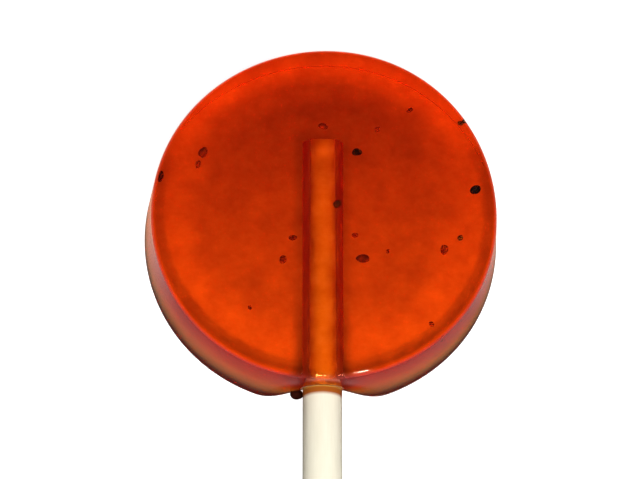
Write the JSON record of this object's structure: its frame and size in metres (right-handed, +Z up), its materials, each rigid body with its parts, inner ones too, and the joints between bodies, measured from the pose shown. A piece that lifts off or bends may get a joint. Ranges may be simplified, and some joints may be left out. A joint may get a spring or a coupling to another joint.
{
  "type": "lollipop",
  "caption": "Flat round lollipop: a thick disc of clear amber-red hard candy with dark spice flecks, cast round a plain cream rolled-paper stick, lying on its back.",
  "frame": {"origin": "centre of the candy's flat underside, on the surface that the lollipop lies on", "axes": "+Z up through the shown face of the disc, +Y along the stick from its free end towards the candy, +X to the right seen from above"},
  "size_m": [0.0361, 0.1097, 0.0073],
  "materials": {
    "candy": "clear amber-red boiled sugar, cast smooth and glossy",
    "paper": "matt cream rolled paper"
  },
  "bodies": {
    "root": {"candy": "candy", "stick": "paper"}
  },
  "joints": []
}
